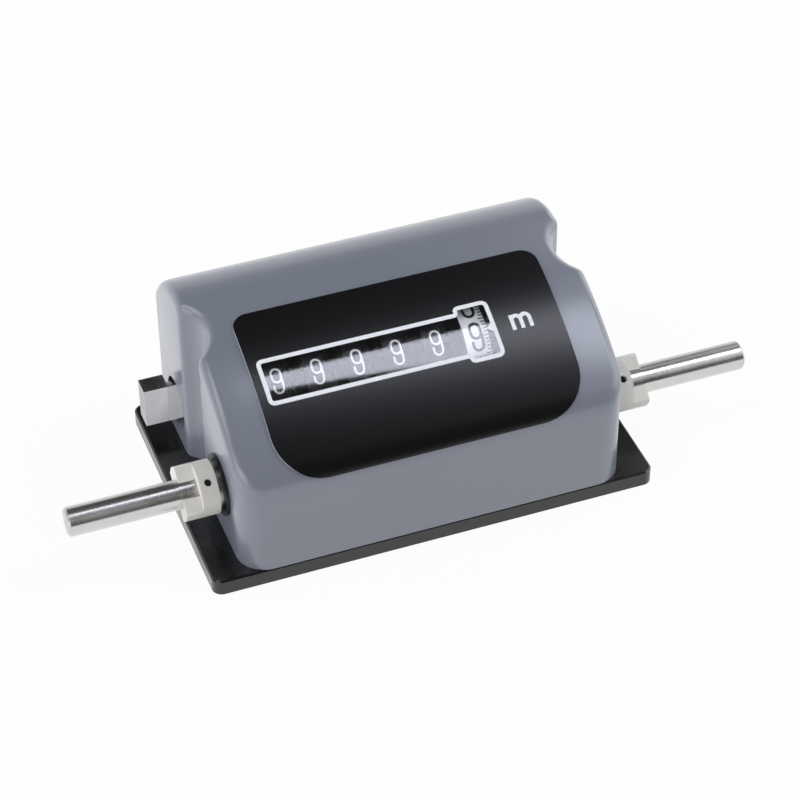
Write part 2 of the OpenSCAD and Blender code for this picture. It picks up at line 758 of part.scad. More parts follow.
module drive_pinion() {
    x1 = unit_gear_x - gear_face_play;
    color("#c7a24a")
    difference() {
        gear_x(x1, shaft_y, shaft_z, drive_module, drive_teeth, drive_module,
            root_depth(drive_module), drive_gear_w + 2 * gear_face_play, 0);
        bar_x(x1 - 1, x1 + drive_gear_w + 2, shaft_y, shaft_z, core_r + seat_fit);
        translate([drive_pin_x, shaft_y, shaft_z])
            cylinder(d = drive_pin_d, h = 4 * drive_root_r, center = true);
    }
}

module drive_pinion_pin() {
    color("#8f9296")
    translate([drive_pin_x, shaft_y, shaft_z])
        cylinder(r = drive_pin_d / 2 - seat_fit, h = 2 * (drive_root_r - drive_pin_deep), center = true);
}

// Hollow rim, web and hub of a wheel, with places counted from the middle of its digit
module wheel_body(x, right, hub_left, hub_right) {
    r = wheel_d / 2;
    on_x(x, wheel_y, wheel_z) rotate_extrude() polygon([
        [0, -hub_left], [hub_d / 2, -hub_left], [hub_d / 2, right - rim_wall],
        [r - rim_wall, right - rim_wall], [r - rim_wall, -rim_left], [r, -rim_left], [r, right],
        [hub_d / 2, right], [hub_d / 2, hub_right], [0, hub_right]
    ]);
}

// Disc with the two teeth that pass on a carry
module carry_disc(x) {
    bar_x(x, x + ring_w, wheel_y, wheel_z, carry_disc_r);
    for (a = [-carry_tooth_turn, carry_tooth_turn])
        translate([x, wheel_y, wheel_z]) rotate([a, 0, 0])
            translate([0, carry_disc_r - tooth_root_in, -carry_tooth_w / 2])
                cube([ring_w, carry_tip_r - carry_disc_r + tooth_root_in, carry_tooth_w]);
}

// Bore for the wheel axle
module axle_bore() {
    bar_x(frame_left - 5, frame_right + 5, wheel_y, wheel_z, axle_d / 2 + run_fit);
}

// Black wheel number i, counted from the left
module number_wheel(i) {
    x = first_digit_x + (i - 1) * wheel_pitch;
    hub_left = rim_left + (i == 1 ? left_hub_reach : ring_w + hub_reach);
    hub_right = wheel_pitch - rim_left - ring_w - hub_reach - end_play;
    color("#1a1a1c")
    difference() {
        union() {
            wheel_body(x, rim_right, hub_left, hub_right);
            gear_x(x + rim_right - ring_root_in, wheel_y, wheel_z, transfer_module, ring_teeth,
                ring_tip, transfer_root, ring_w + ring_root_in, 0);
            if (i > 1) carry_disc(x - rim_left - ring_w);
        }
        axle_bore();
    }
}

module unit_wheel() {
    turn = mesh_turn(0, drive_teeth, unit_teeth, wheel_angle);
    color("#eceeee")
    difference() {
        union() {
            wheel_body(unit_digit_x, unit_rim_right, rim_left + ring_w + hub_reach,
                unit_hub_x - unit_digit_x);
            gear_x(unit_gear_x, wheel_y, wheel_z, drive_module, unit_teeth, drive_module,
                root_depth(drive_module), drive_gear_w, turn);
            carry_disc(unit_digit_x - rim_left - ring_w);
        }
        axle_bore();
    }
}

module number_wheel_1() number_wheel(1);
module number_wheel_2() number_wheel(2);
module number_wheel_3() number_wheel(3);
module number_wheel_4() number_wheel(4);
module number_wheel_5() number_wheel(5);

// Transfer pinion between black wheel i and the next wheel to its right
module transfer_pinion(i) {
    x = first_digit_x + (i - 1) * wheel_pitch + pinion_left;
    turn = mesh_turn(0, ring_teeth, transfer_teeth, 0);
    color("#d9d2b8")
    difference() {
        gear_x(x, pinion_y, wheel_z, transfer_module, transfer_teeth, transfer_tip, transfer_root,
            pinion_w, turn);
        bar_x(x - 1, x + pinion_w + 1, pinion_y, wheel_z, pinion_axle_d / 2 + run_fit);
    }
}

module transfer_pinion_1() transfer_pinion(1);
module transfer_pinion_2() transfer_pinion(2);
module transfer_pinion_3() transfer_pinion(3);
module transfer_pinion_4() transfer_pinion(4);
module transfer_pinion_5() transfer_pinion(5);

module pinion_axle() {
    color("#a9acb0")
    bar_x(frame_left - pinion_axle_out, frame_right + pinion_axle_out, pinion_y, wheel_z,
        pinion_axle_d / 2);
}

// Spacer tube number i on the pinion axle, filling the room between two pinions or a frame side
module pinion_spacer(i) {
    first = first_digit_x + pinion_left;
    x1 = i == 1 ? frame_left + frame_t : first + (i - 2) * wheel_pitch + pinion_w + end_play;
    x2 = i == 6 ? frame_right - frame_t : first + (i - 1) * wheel_pitch - end_play;
    color("#9ea2a6")
    difference() {
        bar_x(x1, x2, pinion_y, wheel_z, spacer_r);
        bar_x(x1 - 1, x2 + 1, pinion_y, wheel_z, pinion_axle_d / 2 + seat_fit);
    }
}

module pinion_spacer_1() pinion_spacer(1);
module pinion_spacer_2() pinion_spacer(2);
module pinion_spacer_3() pinion_spacer(3);
module pinion_spacer_4() pinion_spacer(4);
module pinion_spacer_5() pinion_spacer(5);
module pinion_spacer_6() pinion_spacer(6);

// Wheel axle with the long groove that the zero stops of the wheels drop into
module wheel_axle() {
    r = axle_d / 2;
    color("#c4c6c9")
    difference() {
        bar_x(reset_gear_x - axle_gear_out, axle_clip_x + axle_clip_t + axle_end, wheel_y, wheel_z, r);
        translate([frame_left + frame_t + 0.5, wheel_y - axle_groove / 2, wheel_z + r - axle_groove])
            cube([frame_right - frame_left - 2 * frame_t - 1, axle_groove, 1]);
        on_x(axle_clip_x - run_fit, wheel_y, wheel_z) difference() {
            cylinder(r = r + 1, h = axle_clip_t + 2 * run_fit);
            translate([0, 0, -1]) cylinder(r = r - clip_groove, h = axle_clip_t + 3);
        }
    }
}

module axle_clip() {
    color("#55575a")
    clip(axle_clip_x, wheel_y, wheel_z, axle_d / 2 - clip_groove, axle_d / 2 + clip_lip, axle_clip_t);
}

// Reset gear with a short hub toward the frame
module reset_gear(y, z, n, bore_r, turn) {
    difference() {
        union() {
            gear_x(reset_gear_x, y, z, reset_module, n, reset_module,
                root_depth(reset_module), reset_gear_w, turn);
            bar_x(reset_gear_x + reset_gear_w - 0.01, frame_left - end_play, y, z, bore_r + reset_hub_wall);
        }
        bar_x(reset_gear_x - 1, frame_left + 1, y, z, bore_r);
    }
}

module axle_gear() {
    color("#c7a24a") reset_gear(wheel_y, wheel_z, reset_teeth, axle_d / 2 + seat_fit, axle_gear_turn);
}

module idler_gear() {
    color("#c7a24a") reset_gear(idler_y, idler_z, idler_teeth, idler_stud_d / 2 + run_fit, idler_turn);
}

module spindle_gear() {
    color("#c7a24a") reset_gear(knob_y, knob_z, reset_teeth, spindle_d / 2 + seat_fit, 0);
}

module idler_stud() {
    color("#a9acb0") {
        bar_x(reset_gear_x - end_play, frame_left + frame_t, idler_y, idler_z, idler_stud_d / 2);
        bar_x(reset_gear_x - end_play - stud_head_t, reset_gear_x - end_play, idler_y, idler_z,
            idler_stud_d / 2 + stud_lip);
    }
}

module reset_spindle() {
    color("#c4c6c9")
    bar_x(knob_bore_x + 0.1, frame_left + frame_t + spindle_end, knob_y, knob_z, spindle_d / 2);
}

// Knob turned from the bar, with one half cut away to a flat grip
module reset_knob() {
    r = knob_neck_d / 2;
    color("#d5d6d8")
    difference() {
        union() {
            translate([grip_right - grip_len, knob_y, knob_z - grip_h / 2])
                cube([grip_len, grip_t, grip_h]);
            intersection() {
                bar_x(grip_right - grip_joint, knob_flat_end + grip_joint, knob_y, knob_z, r);
                translate([grip_right - 1, knob_y, knob_z - r])
                    cube([knob_flat_end - grip_right + 2, r, 2 * r]);
            }
            bar_x(knob_flat_end, knob_boss_end, knob_y, knob_z, r);
        }
        bar_x(knob_bore_x, knob_boss_end + 1, knob_y, knob_z, spindle_d / 2 + seat_fit);
        translate([set_screw_x, knob_y, knob_z]) cylinder(d = set_screw_d, h = 2 * r);
    }
}

module knob_set_screw() {
    r = knob_neck_d / 2;
    color("#55575a")
    translate([set_screw_x, knob_y, knob_z])
        difference() {
            translate([0, 0, spindle_d / 2 + seat_fit])
                cylinder(r = set_screw_d / 2 - seat_fit, h = r - spindle_d / 2 - 0.3);
            translate([-set_screw_d, -set_screw_slot / 2, r - 0.8])
                cube([2 * set_screw_d, set_screw_slot, 2]);
        }
}

base_plate();
housing();
front_panel();
housing_screws();
counter_frame();
frame_screws();
drive_shaft();
dog_left();
dog_right();
dog_pin_left();
dog_pin_right();
bush_left();
bush_right();
thrust_washer_left();
thrust_washer_right();
shaft_clip_left();
shaft_clip_right();
drive_pinion();
drive_pinion_pin();
unit_wheel();
number_wheel_1();
number_wheel_2();
number_wheel_3();
number_wheel_4();
number_wheel_5();
transfer_pinion_1();
transfer_pinion_2();
transfer_pinion_3();
transfer_pinion_4();
transfer_pinion_5();
pinion_axle();
pinion_spacer_1();
pinion_spacer_2();
pinion_spacer_3();
pinion_spacer_4();
pinion_spacer_5();
pinion_spacer_6();
wheel_axle();
axle_clip();
axle_gear();
idler_gear();
idler_stud();
reset_spindle();
spindle_gear();
reset_knob();
knob_set_screw();
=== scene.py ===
import json
import math

import bmesh
import bpy
from mathutils import Matrix, Vector
from mathutils.geometry import delaunay_2d_cdt


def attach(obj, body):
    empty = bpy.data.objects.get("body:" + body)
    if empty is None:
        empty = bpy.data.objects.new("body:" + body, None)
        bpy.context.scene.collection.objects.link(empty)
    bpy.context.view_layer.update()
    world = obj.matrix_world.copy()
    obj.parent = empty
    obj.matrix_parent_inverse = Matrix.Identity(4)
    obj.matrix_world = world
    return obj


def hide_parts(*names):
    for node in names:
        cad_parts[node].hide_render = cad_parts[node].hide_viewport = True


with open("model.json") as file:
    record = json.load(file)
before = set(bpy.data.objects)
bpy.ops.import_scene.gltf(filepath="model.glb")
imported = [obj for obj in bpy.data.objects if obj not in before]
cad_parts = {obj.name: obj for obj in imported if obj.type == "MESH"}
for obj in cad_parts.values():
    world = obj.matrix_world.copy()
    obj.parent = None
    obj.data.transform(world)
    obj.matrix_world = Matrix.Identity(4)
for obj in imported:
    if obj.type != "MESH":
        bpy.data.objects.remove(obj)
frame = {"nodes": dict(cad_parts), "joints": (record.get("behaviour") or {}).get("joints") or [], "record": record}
bpy.context.view_layer.update()
nodes = frame["nodes"]
MM = 0.001


def joint_place(body):
    """Place in mm of the joint that turns a body."""
    joint = next(row for row in frame["joints"] if row["child"] == body)
    return Vector(joint["pos_m"]) / MM


# Sizes of the counter that the print and the finishes follow, in mm
CROWN_R, CROWN_Y, CROWN_Z = 80.0, 21.4, -29.6
FRONT_R, FRONT_Y = 9.0, -24.5
PANEL_W, PANEL_TOP, PANEL_END, PANEL_T, PANEL_LIFT = 75.0, 17.6, 61.0, 0.5, 0.03
PANEL_TOP_R, PANEL_LOW_R = 4.0, 11.5
WHEEL_R = 13.3
# The front arc leaves the crown's arc without a bend, after this turn in radians
FRONT_Z = CROWN_Z + math.sqrt((CROWN_R - FRONT_R) ** 2 - (CROWN_Y - FRONT_Y) ** 2)
FRONT_TURN = math.asin((CROWN_Y - FRONT_Y) / (CROWN_R - FRONT_R))
UNIT_DIGIT, WHEEL_Y, WHEEL_Z = joint_place("unit")
# The white wheel is white within these limits in x and this depth below its rim
DRUM_LEFT, DRUM_RIGHT, DRUM_WALL = UNIT_DIGIT - 3.05, UNIT_DIGIT + 2.85, 2.0
# The knob's white facing ends here
FACING_END = -44.0


# Finishes

def hex_rgb(code):
    """An sRGB hex colour as linear values."""
    parts = [int(code[i:i + 2], 16) / 255 for i in (1, 3, 5)]
    return tuple(c / 12.92 if c <= 0.04045 else ((c + 0.055) / 1.055) ** 2.4 for c in parts) + (1.0,)


def add(tree, kind, inputs=None, **settings):
    """One node with its settings; an input is a value or another node's socket."""
    node = tree.nodes.new(kind)
    for key, value in settings.items():
        setattr(node, key, value)
    for key, value in (inputs or {}).items():
        if isinstance(value, bpy.types.NodeSocket):
            tree.links.new(value, node.inputs[key])
        else:
            node.inputs[key].default_value = value
    return node


def start_finish(name, sockets):
    """A material with one surface shader, and the place on the piece that its patterns read."""
    material = bpy.data.materials.new(name)
    material.use_nodes = True
    tree = material.node_tree
    tree.nodes.clear()
    surface = add(tree, "ShaderNodeBsdfPrincipled", sockets)
    add(tree, "ShaderNodeOutputMaterial", {"Surface": surface.outputs[0]})
    place = add(tree, "ShaderNodeTexCoord").outputs["Object"]
    return material, tree, surface, place


def mix_in(tree, surface, other, share):
    """Shows another shader over a finish's own one, by the share that a socket gives."""
    output = next(node for node in tree.nodes if node.type == "OUTPUT_MATERIAL")
    mix = add(tree, "ShaderNodeMixShader", {0: share, 1: surface.outputs[0], 2: other.outputs[0]})
    tree.links.new(mix.outputs[0], output.inputs["Surface"])


def uneven(tree, surface, place, size_mm, height_mm, stretch=(1, 1, 1), detail=2.0, coat=False):
    """Unevenness of a given size and height on a surface; stretch makes it finer along an axis."""
    spot = add(tree, "ShaderNodeMapping", {"Vector": place, "Scale": stretch}).outputs[0]
    lumps = add(tree, "ShaderNodeTexNoise", {"Vector": spot, "Scale": 1 / (size_mm * MM), "Detail": detail})
    bump = add(tree, "ShaderNodeBump", {"Height": lumps.outputs[0], "Strength": 1.0,
                                        "Distance": height_mm * MM})
    tree.links.new(bump.outputs[0], surface.inputs["Normal"])
    if coat:
        tree.links.new(bump.outputs[0], surface.inputs["Coat Normal"])


def shaded(tree, surface, place, size_mm, dark, light, socket="Base Color"):
    """A colour or a roughness that wanders between two values over a given size."""
    cloud = add(tree, "ShaderNodeTexNoise", {"Vector": place, "Scale": 1 / (size_mm * MM), "Detail": 4.0})
    if socket == "Base Color":
        # Inputs 6 and 7 of this node are its two colours, and output 2 is the mixed colour
        mix = add(tree, "ShaderNodeMix", {0: cloud.outputs[0], 6: hex_rgb(dark), 7: hex_rgb(light)},
                  data_type="RGBA")
        tree.links.new(mix.outputs[2], surface.inputs[socket])
    else:
        spread = add(tree, "ShaderNodeMapRange", {"Value": cloud.outputs[0], "From Min": 0.3, "From Max": 0.7,
                                                  "To Min": dark, "To Max": light})
        tree.links.new(spread.outputs[0], surface.inputs[socket])


def housing_enamel():
    # Stoved satin enamel sprayed on a die casting: an even grey with soft, slightly rippled highlights
    material, tree, surface, place = start_finish("grey_stoved_enamel", {
        "Roughness": 0.42, "IOR": 1.5, "Coat Weight": 1.0, "Coat Roughness": 0.22, "Coat IOR": 1.55})
    shaded(tree, surface, place, 30, "#737884", "#797e8a")
    uneven(tree, surface, place, 1.6, 0.006, coat=True)
    return material


def plate_lacquer():
    # Black stoving lacquer on rolled sheet steel: nearly black, with a soft mirror and faint rubbing
    material, tree, surface, place = start_finish("black_stoving_lacquer", {
        "IOR": 1.5, "Coat Weight": 0.3, "Coat Roughness": 0.1})
    shaded(tree, surface, place, 6, "#0e0e0f", "#141415")
    shaded(tree, surface, place, 9, 0.2, 0.36, "Roughness")
    uneven(tree, surface, place, 2.5, 0.004)
    return material


def panel_film():
    # Polycarbonate film with a fine texture, printed black from behind: satin black with a broad sheen
    material, tree, surface, place = start_finish("black_printed_film", {"Roughness": 0.27, "IOR": 1.52})
    shaded(tree, surface, place, 12, "#070709", "#0a0a0d")
    uneven(tree, surface, place, 0.25, 0.0015)
    return material


def clear_window():
    # The same film left unprinted and smooth: clear, with a mirror-like glare; lamps shine through it
    material, tree, surface, place = start_finish("clear_film_window", {
        "Base Color": hex_rgb("#f8f9fb"), "Roughness": 0.05, "IOR": 1.58, "Transmission Weight": 1.0})
    uneven(tree, surface, place, 14, 0.0025, detail=0.0)
    shadow = add(tree, "ShaderNodeLightPath").outputs["Is Shadow Ray"]
    mix_in(tree, surface, add(tree, "ShaderNodeBsdfTransparent"), shadow)
    return material


def film_cut_edge():
    # Die-cut edge of the clear film behind its print: pale and matt, a fine light line round the black
    material, tree, surface, place = start_finish("cut_film_edge", {"Roughness": 0.5, "IOR": 1.58})
    shaded(tree, surface, place, 5, "#b9bcc4", "#c9ccd3")
    uneven(tree, surface, place, 0.3, 0.003)
    return material


def white_ink(name, dark, light):
    # Screen-printed white ink under the film or on a wheel: flat opaque white
    material, tree, surface, place = start_finish(name, {"Roughness": 0.4, "IOR": 1.5})
    shaded(tree, surface, place, 3, dark, light)
    uneven(tree, surface, place, 0.3, 0.001)
    return material


def moulded(name, dark, light, roughness, soft=0.0, skin_mm=0.004):
    # Injection-moulded plastic: an even colour with a fine spark-eroded skin
    material, tree, surface, place = start_finish(name, {
        "Roughness": roughness, "IOR": 1.49, "Subsurface Weight": soft, "Subsurface Scale": 0.8 * MM,
        "Subsurface Radius": (1.0, 0.9, 0.7)})
    shaded(tree, surface, place, 4, dark, light)
    # The real grain is under a tenth of a mm, drawn as coarse as it needs to show
    uneven(tree, surface, place, 0.35, skin_mm)
    return material


def bar_steel():
    # Centreless-ground steel bar: fine lines run round it, so lamps smear into bands along the bar
    material, tree, surface, place = start_finish("ground_bright_steel", {
        "Metallic": 1.0, "Anisotropic": 0.9})
    shaded(tree, surface, place, 5, "#cdcbca", "#dad9d8")
    shaded(tree, surface, place, 7, 0.25, 0.31, "Roughness")
    along = add(tree, "ShaderNodeCombineXYZ", {"X": 1.0})
    tree.links.new(along.outputs[0], surface.inputs["Tangent"])
    # The real grinding lines are a few hundredths of a mm apart, drawn as coarse as they need to show
    uneven(tree, surface, place, 1.5, 0.0015, stretch=(10, 0.3, 0.3))
    return material


def plated(name, dark, light, low, high):
    # Plated steel: a thin bright skin over slightly rolled or turned metal
    material, tree, surface, place = start_finish(name, {"Metallic": 1.0})
    shaded(tree, surface, place, 3, dark, light)
    shaded(tree, surface, place, 4, low, high, "Roughness")
    uneven(tree, surface, place, 0.6, 0.002)
    return material


def cut_brass():
    # Milled free-cutting brass: warm yellow with fine cutter marks
    material, tree, surface, place = start_finish("milled_brass", {"Metallic": 1.0})
    shaded(tree, surface, place, 3, "#b08d4c", "#c9a662")
    shaded(tree, surface, place, 2, 0.22, 0.38, "Roughness")
    uneven(tree, surface, place, 0.5, 0.003, stretch=(6, 1, 1))
    return material


finishes = {
    "black_lacquer": plate_lacquer(),
    "grey_paint": housing_enamel(),
    "black_film": panel_film(),
    "zinc_steel": plated("zinc_plated_steel", "#a9abac", "#bfc1c3", 0.26, 0.4),
    "ground_steel": bar_steel(),
    "white_nylon": moulded("natural_nylon", "#dddbd4", "#e7e5de", 0.4, 0.3),
    "spring_steel": plated("oiled_spring_steel", "#3a3937", "#4d4b48", 0.3, 0.45),
    "black_bush": moulded("black_acetal", "#0f0f10", "#161617", 0.35),
    "brass_gear": cut_brass(),
    "white_wheel": moulded("white_wheel_plastic", "#e6e7e9", "#eeeff0", 0.3, 0.1, 0.001),
    "black_wheel": moulded("black_wheel_plastic", "#131314", "#18181a", 0.35, 0.0, 0.001),
    "acetal_pinion": moulded("natural_acetal", "#d8d2bc", "#e2dccb", 0.35, 0.2),
    "nickel_knob": plated("nickel_plated_knob", "#9a9899", "#a7a5a6", 0.2, 0.3),
}
clear = clear_window()
cut_film = film_cut_edge()
knob_facing = moulded("white_knob_facing", "#f3f4f9", "#fafbfe", 0.35, 0.1)
panel_ink = white_ink("white_panel_ink", "#eaebf1", "#f0f1f6")
digit_ink = white_ink("white_digit_ink", "#eaebef", "#f2f3f6")
black_ink = moulded("black_digit_ink", "#101012", "#161618", 0.6)

slots = {part["node"]: part["material_slot"] for part in frame["record"]["subparts"]}
for name, obj in nodes.items():
    obj.data.materials.clear()
    obj.data.materials.append(finishes[slots[name]])


# Places on the counter

def on_face(s, lift):
    """Depth and height in mm at arc length s down the face from the crown line, lifted by lift."""
    turn_s = CROWN_R * FRONT_TURN
    if s < turn_s:
        a = s / CROWN_R
        return CROWN_Y - (CROWN_R + lift) * math.sin(a), CROWN_Z + (CROWN_R + lift) * math.cos(a)
    a = FRONT_TURN + (s - turn_s) / FRONT_R
    return FRONT_Y - (FRONT_R + lift) * math.sin(a), FRONT_Z + (FRONT_R + lift) * math.cos(a)


def face_place(x, s, lift):
    y, z = on_face(s, lift)
    return Vector((x, y, z)) * MM


def face_direction(p):
    """Outward direction of the crowned face at a place p in mm."""
    return Vector((0, p.y - CROWN_Y, p.z - CROWN_Z)).normalized()


def wheel_place(x0, middle):
    """Place of a point u to the right of and v above the middle of a digit that stands at that angle.

    The angle is in degrees, from straight back over the top of the wheel.
    """
    def place(u, v, lift):
        a = math.radians(middle) - v / WHEEL_R
        r = WHEEL_R + lift
        return Vector((x0 + u, WHEEL_Y + r * math.cos(a), WHEEL_Z + r * math.sin(a))) * MM
    return place


# Mesh helpers

# Cosines between a face and a direction: above the first it is a film's top or underside, below the
# second it is a film's cut edge, and above the third it faces the front
FLAT_COSINE, CUT_COSINE, FRONT_COSINE = 0.7, 0.5, 0.9
# Steps of a line's round end and of an outline's rounded corner
CAP_STEPS, CORNER_STEPS = 8, 8
# Lengths in mm below which two points of a line, or of a flat shape, are one
LINE_NEAR, FLAT_NEAR = 1e-9, 1e-5


def make(name, mesh, material):
    obj = bpy.data.objects.new(name, mesh)
    bpy.context.scene.collection.objects.link(obj)
    mesh.materials.clear()
    mesh.materials.append(material)
    return obj


def carried(obj, body):
    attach(obj, body)


def thin_solid(parts, place, low, high):
    """Closed thin solids over flat shapes: parts are (points, faces), lifted between low and high."""
    verts, faces = [], []
    for points, tops in parts:
        base, n = len(verts), len(points)
        verts += [place(u, v, low) for u, v in points] + [place(u, v, high) for u, v in points]
        edges = {(f[i], f[(i + 1) % len(f)]) for f in tops for i in range(len(f))}
        for f in tops:
            faces.append([base + n + i for i in f])
            faces.append([base + i for i in reversed(f)])
        for a, b in edges:
            if (b, a) not in edges:
                faces.append([base + a, base + b, base + n + b, base + n + a])
    mesh = bpy.data.meshes.new("thin_solid")
    mesh.from_pydata(verts, [], faces)
    bm = bmesh.new()
    bm.from_mesh(mesh)
    bmesh.ops.recalc_face_normals(bm, faces=bm.faces)
    bm.to_mesh(mesh)
    bm.free()
    return mesh


def film_solid(parts, place, low, high):
    """The same with exact normals, so that the curved faces mirror like one smooth film."""
    mesh = thin_solid(parts, place, low, high)
    outward = []
    for points, _ in parts:
        base, n = len(outward), len(points)
        feet, tops = mesh.vertices[base:base + n], mesh.vertices[base + n:base + 2 * n]
        outward += [(top.co - foot.co).normalized() for foot, top in zip(feet, tops)] * 2
    normals = []
    for face in mesh.polygons:
        face.use_smooth = True
        for i in face.vertices:
            turn = face.normal.dot(outward[i])
            flat = abs(turn) > FLAT_COSINE
            normals.append(outward[i] * math.copysign(1, turn) if flat else face.normal.copy())
    mesh.normals_split_custom_set(normals)
    return mesh


def even(points, step, closed=False):
    """The same line with points no more than a step apart."""
    out = []
    pairs = list(zip(points, points[1:] + points[:1])) if closed else list(zip(points, points[1:]))
    for a, b in pairs:
        n = max(1, math.ceil(math.dist(a, b) / step))
        out += [(a[0] + (b[0] - a[0]) * i / n, a[1] + (b[1] - a[1]) * i / n) for i in range(n)]
    return out if closed else out + [points[-1]]


def stroke(points, width, closed=False, step=0.4, round_ends=True):
    """A printed line of one width, as (points, faces)."""
    line = [Vector(p) for p in even(points, step, closed)]
    n, half = len(line), width / 2
    left, right = [], []
    for i, p in enumerate(line):
        before = line[i - 1] if closed or i else p
        after = line[(i + 1) % n] if closed or i < n - 1 else p
        d1, d2 = (p - before), (after - p)
        d1 = d1.normalized() if d1.length > LINE_NEAR else d2.normalized()
        d2 = d2.normalized() if d2.length > LINE_NEAR else d1
        across = Vector((-d1.y - d2.y, d1.x + d2.x)).normalized()
        # A sharp corner reaches out to twice the half width at most
        reach = half / max(0.5, across.dot(Vector((-d1.y, d1.x))))
        left.append(p + across * reach)
        right.append(p - across * reach)
    points = [tuple(p) for p in left + right]
    faces = [[i, n + i, n + (i + 1) % n, (i + 1) % n] for i in range(n if closed else n - 1)]
    if not closed and round_ends:
        for end, side in ((0, -1), (n - 1, 1)):
            middle = line[end]
            a0 = math.atan2(*(left[end] - middle).yx)
            cap = [end]
            for k in range(1, CAP_STEPS):
                a = a0 - side * math.pi * k / CAP_STEPS
                cap.append(len(points))
                points.append((middle.x + half * math.cos(a), middle.y + half * math.sin(a)))
            cap.append(n + end)
            faces.append(cap if side < 0 else cap[::-1])
    return points, faces


def arc(x, y, r, start, end, steps=12):
    """Points round a middle, from one angle to another."""
    angles = [math.radians(start + (end - start) * i / steps) for i in range(steps + 1)]
    return [(x + r * math.cos(a), y + r * math.sin(a)) for a in angles]


def rounded(corners):
    """A closed outline through corners given as (x, y, radius)."""
    out = []
    for i, (x, y, r) in enumerate(corners):
        before, after = Vector(corners[i - 1][:2]), Vector(corners[(i + 1) % len(corners)][:2])
        here = Vector((x, y))
        a, b = (before - here).normalized(), (after - here).normalized()
        start, end = here + a * r, here + b * r
        for k in range(CORNER_STEPS + 1):
            t = k / CORNER_STEPS
            out.append(tuple(start * (1 - t) ** 2 + here * 2 * t * (1 - t) + end * t ** 2))
    return out


def inside(point, loop):
    x, y = point
    hit = False
    for (x1, y1), (x2, y2) in zip(loop, loop[1:] + loop[:1]):
        if (y1 > y) != (y2 > y) and x < (x2 - x1) * (y - y1) / (y2 - y1) + x1:
            hit = not hit
    return hit


def filled(outline, holes, rows):
    """A flat shape with holes, cut in rows so that it can bend down the face."""
    loops = [even(outline, rows, True)] + [even(h, rows, True) for h in holes]
    points, edges = [], []
    for loop in loops:
        base = len(points)
        points += loop
        edges += [(base + i, base + (i + 1) % len(loop)) for i in range(len(loop))]
    low, high = min(p[1] for p in outline), max(p[1] for p in outline)
    wide = [p[0] for p in outline]
    y = low + rows
    while y < high - rows / 2:
        x = min(wide) + rows * 2
        while x < max(wide) - rows:
            if inside((x, y), loops[0]) and not any(inside((x, y), h) for h in loops[1:]):
                points.append((x, y))
            x += rows * 2
        y += rows
    # The fourth value asks for every triangle between the points
    verts, _, tris, _, _, _ = delaunay_2d_cdt([Vector(p) for p in points], edges, [], 0, FLAT_NEAR)
    kept = []
    for f in tris:
        middle = sum((verts[i] for i in f), Vector((0, 0))) / len(f)
        if inside(middle, loops[0]) and not any(inside(middle, h) for h in loops[1:]):
            kept.append(list(f))
    return [tuple(v) for v in verts], kept


# Housing, dogs, white wheel and knob

# Points of a CAD mesh nearer than the first are one, and edges shorter than the second go, in m
CAD_NEAR, CAD_TINY = 2e-6, 1e-6
# Least turn between two faces, in degrees, at an edge that is shown sharp, and at one that is broken
HOUSING_SHARP, PIECE_SHARP, BROKEN_TURN = 34, 30, 40
BROKEN_STEPS = 3


def merged_copy(node, name, sharp_angle):
    """A copy of a CAD node with its loose triangles joined and its curves shaded smoothly."""
    mesh = nodes[node].data.copy()
    bm = bmesh.new()
    bm.from_mesh(mesh)
    bmesh.ops.remove_doubles(bm, verts=bm.verts, dist=CAD_NEAR)
    bmesh.ops.dissolve_degenerate(bm, dist=CAD_TINY, edges=bm.edges)
    for f in bm.faces:
        f.smooth = True
    bm.to_mesh(mesh)
    bm.free()
    if "custom_normal" in mesh.attributes:
        mesh.attributes.remove(mesh.attributes["custom_normal"])
    mesh.set_sharp_from_angle(angle=math.radians(sharp_angle))
    return make(name, mesh, finishes[slots[node]])


def stand_in(obj, node, body):
    carried(obj, body)
    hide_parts(node)


def broken_edges(obj, width_mm, shortest_mm):
    """Rounds the sharp edges of a moulded or filed piece, but not the short edges round its holes."""
    bm = bmesh.new()
    bm.from_mesh(obj.data)
    weight = bm.edges.layers.float.new("bevel_weight_edge")
    for edge in bm.edges:
        turned = len(edge.link_faces) == 2 and edge.calc_face_angle() > math.radians(BROKEN_TURN)
        edge[weight] = 1.0 if turned and edge.calc_length() > shortest_mm * MM else 0.0
    bm.to_mesh(obj.data)
    bm.free()
    bevel = obj.modifiers.new("broken_edges", "BEVEL")
    bevel.width = width_mm * MM
    bevel.segments = BROKEN_STEPS
    bevel.limit_method = "WEIGHT"
    bevel.use_clamp_overlap = True


def second_finish(obj, material, chosen):
    """Gives another finish to the faces of a piece whose middle in mm and direction are chosen."""
    obj.data.materials.append(material)
    for face in obj.data.polygons:
        if chosen(face.center / MM, face.normal):
            face.material_index = 1


def on_hub(p, _):
    """The white drum is pressed on a black hub with the carry disc and the gear."""
    beside = not DRUM_LEFT < p.x < DRUM_RIGHT
    return beside or math.hypot(p.y - WHEEL_Y, p.z - WHEEL_Z) < WHEEL_R - DRUM_WALL


def on_knob_front(p, direction):
    """The flat front of the knob's grip and neck is faced with white plastic."""
    return direction.y < -FRONT_COSINE and p.x < FACING_END


housing_skin = merged_copy("housing", "housing_skin", HOUSING_SHARP)
stand_in(housing_skin, "housing", "case")

for side in ("left", "right"):
    dog = merged_copy(f"dog_{side}", f"coupling_dog_{side}", PIECE_SHARP)
    broken_edges(dog, 0.3, 0.7)
    stand_in(dog, f"dog_{side}", "drive")

drum = merged_copy("unit_wheel", "unit_wheel_drum", PIECE_SHARP)
second_finish(drum, finishes["black_wheel"], on_hub)
stand_in(drum, "unit_wheel", "unit")

knob = merged_copy("reset_knob", "reset_knob_filed", PIECE_SHARP)
second_finish(knob, knob_facing, on_knob_front)
broken_edges(knob, 0.35, 2.0)
stand_in(knob, "reset_knob", "reset")


